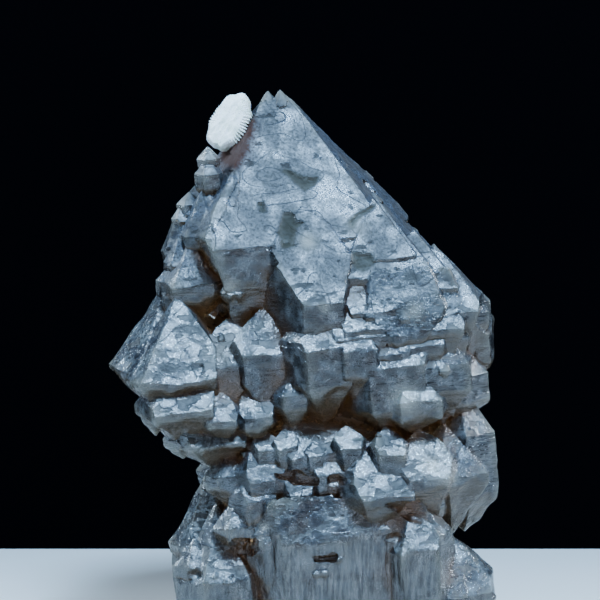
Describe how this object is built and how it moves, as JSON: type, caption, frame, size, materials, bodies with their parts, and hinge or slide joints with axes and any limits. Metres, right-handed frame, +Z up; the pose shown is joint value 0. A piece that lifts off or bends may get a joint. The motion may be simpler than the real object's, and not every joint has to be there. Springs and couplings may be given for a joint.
{
  "type": "screw quartz crystal stack",
  "caption": "Free-standing stack of smoky quartz crystals grown in parallel: a faceted crown on stepped tiers, with a small white crystal on its shoulder, cut flat below to stand.",
  "frame": {"origin": "middle of the flat cut face that the specimen stands on", "axes": "+Z up from the cut face towards the crown, -Y towards the viewer who sees the crown's broad front face, +X to that viewer's right"},
  "size_m": [0.0493, 0.0376, 0.0692],
  "materials": {
    "quartz": "smoky, glossy, with etched and terraced faces and amber recesses",
    "white_crystal": "translucent white, finely bladed, satin"
  },
  "bodies": {
    "root": {"quartz_stack": "quartz", "calcite_plate": "white_crystal"}
  },
  "joints": []
}
